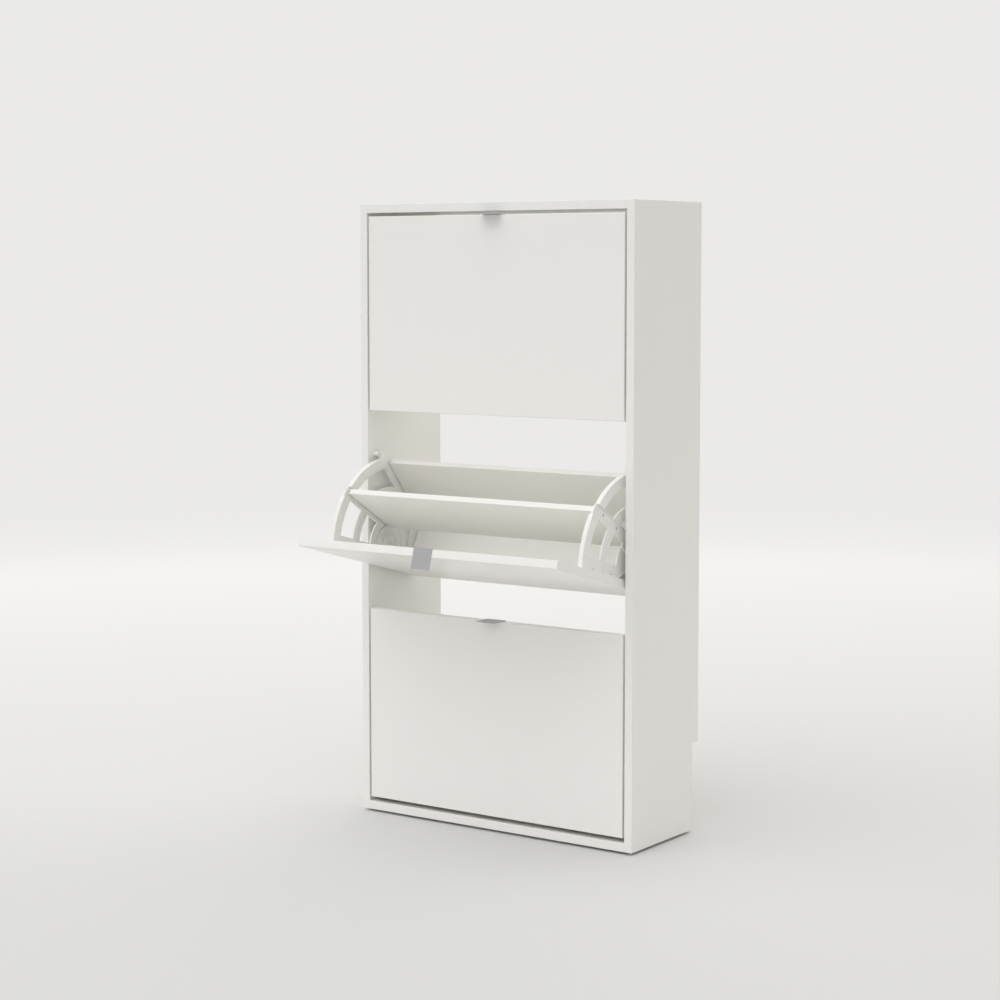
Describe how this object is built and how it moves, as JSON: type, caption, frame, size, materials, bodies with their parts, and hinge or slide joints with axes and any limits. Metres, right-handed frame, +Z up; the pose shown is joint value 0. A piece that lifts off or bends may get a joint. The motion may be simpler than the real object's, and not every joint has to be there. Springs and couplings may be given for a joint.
{
  "type": "shoe cabinet",
  "caption": "Slim white shoe cabinet with an open back and tip-out bins stacked one above the other, each a flush front on fan brackets with shelves for two rows of shoes.",
  "frame": {"origin": "on the floor, centred left to right and front to back in the box that the cabinet fills with its middle bin open as stored; the carcass front lies 6 mm in front of the origin", "axes": "+X to the right as seen from the front, +Y to the back and the wall, +Z up"},
  "size_m": [0.605, 0.4482, 1.155],
  "materials": {
    "lacquered_board": "satin white lacquer on board",
    "shelf_board": "satin white foil on board",
    "bracket_plastic": "fine-grained white moulding",
    "handle_plate": "matt anodised sheet",
    "zinc_steel": "zinc plated",
    "dowel_wood": "raw beech",
    "glide_plastic": "dark moulded plastic"
  },
  "bodies": {
    "carcass": {"side_panel_right": "lacquered_board", "side_panel_left": "lacquered_board", "top_panel": "lacquered_board", "bottom_panel": "lacquered_board", "back_rail_upper": "lacquered_board", "back_rail_lower": "lacquered_board", "carcass_dowels": "dowel_wood", "cam_bolts": "zinc_steel", "cam_discs": "zinc_steel", "glides": "glide_plastic", "pivot_plate_right_bottom": "bracket_plastic", "pivot_plate_left_bottom": "bracket_plastic", "pivot_plate_right_middle": "bracket_plastic", "pivot_plate_left_middle": "bracket_plastic", "pivot_plate_right_top": "bracket_plastic", "pivot_plate_left_top": "bracket_plastic", "stop_pegs": "bracket_plastic"},
    "bin_bottom": {"front_bottom": "lacquered_board", "handle_bottom": "handle_plate", "mid_shelf_bottom": "shelf_board", "rear_shelf_bottom": "shelf_board", "floor_board_bottom": "shelf_board", "fan_bracket_right_bottom": "bracket_plastic", "fan_bracket_left_bottom": "bracket_plastic", "rear_bracket_right_bottom": "bracket_plastic", "rear_bracket_left_bottom": "bracket_plastic", "bin_screws_bottom": "zinc_steel"},
    "bin_middle": {"front_middle": "lacquered_board", "handle_middle": "handle_plate", "mid_shelf_middle": "shelf_board", "rear_shelf_middle": "shelf_board", "floor_board_middle": "shelf_board", "fan_bracket_right_middle": "bracket_plastic", "fan_bracket_left_middle": "bracket_plastic", "rear_bracket_right_middle": "bracket_plastic", "rear_bracket_left_middle": "bracket_plastic", "bin_screws_middle": "zinc_steel"},
    "bin_top": {"front_top": "lacquered_board", "handle_top": "handle_plate", "mid_shelf_top": "shelf_board", "rear_shelf_top": "shelf_board", "floor_board_top": "shelf_board", "fan_bracket_right_top": "bracket_plastic", "fan_bracket_left_top": "bracket_plastic", "rear_bracket_right_top": "bracket_plastic", "rear_bracket_left_top": "bracket_plastic", "bin_screws_top": "zinc_steel"}
  },
  "joints": [
    {"name": "tip_bottom", "type": "hinge", "parent": "carcass", "child": "bin_bottom", "pos_m": [0, 0.03805, 0.1405], "axis": [1, 0, 0], "range_deg": [0, 75]},
    {"name": "tip_middle", "type": "hinge", "parent": "carcass", "child": "bin_middle", "pos_m": [0, 0.03805, 0.51033], "axis": [1, 0, 0], "range_deg": [-75, 0]},
    {"name": "tip_top", "type": "hinge", "parent": "carcass", "child": "bin_top", "pos_m": [0, 0.03805, 0.88017], "axis": [1, 0, 0], "range_deg": [0, 75]}
  ]
}
